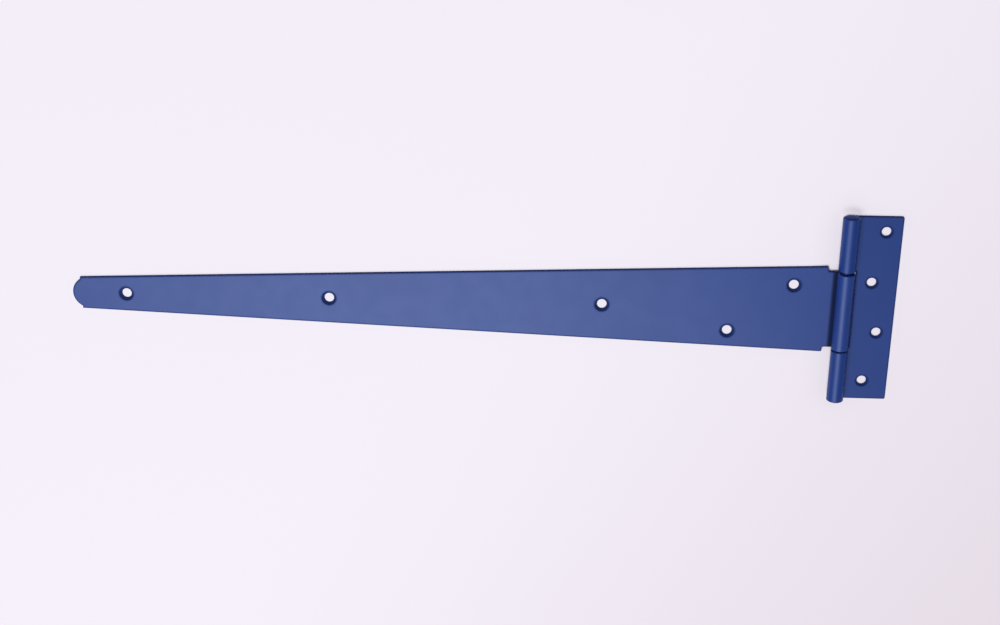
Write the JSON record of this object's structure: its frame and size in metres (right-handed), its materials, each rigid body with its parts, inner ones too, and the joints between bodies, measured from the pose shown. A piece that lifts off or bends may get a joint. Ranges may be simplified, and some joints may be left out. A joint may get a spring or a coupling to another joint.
{
  "type": "tee hinge",
  "caption": "Tee hinge with a long tapered strap and a short butt plate, rolled around a riveted pin, with countersunk screw holes, in blue coated steel.",
  "frame": {"origin": "on the back plane that both leaves share, under the pin's axis, at the middle of the pin's length", "axes": "+X from the pin along the strap to its tip, +Y along the pin, +Z out of the front, the side with the knuckles and countersinks"},
  "size_m": [0.4797, 0.115, 0.0097],
  "materials": {
    "plate_coat": "satin blue powder coat",
    "strap_coat": "satin blue powder coat",
    "pin_coat": "satin blue powder coat"
  },
  "bodies": {
    "plate": {"butt_plate": "plate_coat", "hinge_pin": "pin_coat"},
    "strap": {"strap": "strap_coat"}
  },
  "joints": [
    {"name": "strap_swing", "type": "hinge", "parent": "plate", "child": "strap", "pos_m": [0, 0, 0.00486], "axis": [0, -1, 0], "range_deg": [-98, 188]}
  ]
}
